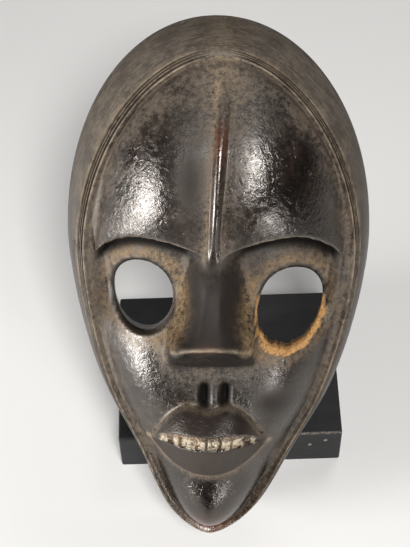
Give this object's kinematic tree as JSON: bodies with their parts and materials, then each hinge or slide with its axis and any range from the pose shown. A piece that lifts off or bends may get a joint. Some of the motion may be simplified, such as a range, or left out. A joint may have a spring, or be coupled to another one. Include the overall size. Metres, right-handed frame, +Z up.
{
  "type": "carved wooden dan mask on a display stand",
  "caption": "Carved hardwood face mask with round eye holes and a hollow back, held leaning on a forked rod set in a black block.",
  "frame": {"origin": "middle of the stand block's underside", "axes": "+Z up, -Y the way the mask looks, +X to the right of the picture"},
  "size_m": [0.1395, 0.1727, 0.2168],
  "materials": {
    "mask": "dark glossy patina, worn and dusty in the grooves",
    "stand_block": "black paint, satin",
    "stand_rod": "black paint, satin"
  },
  "bodies": {
    "root": {"mask": "mask", "stand_block": "stand_block", "stand_rod": "stand_rod"}
  },
  "joints": []
}
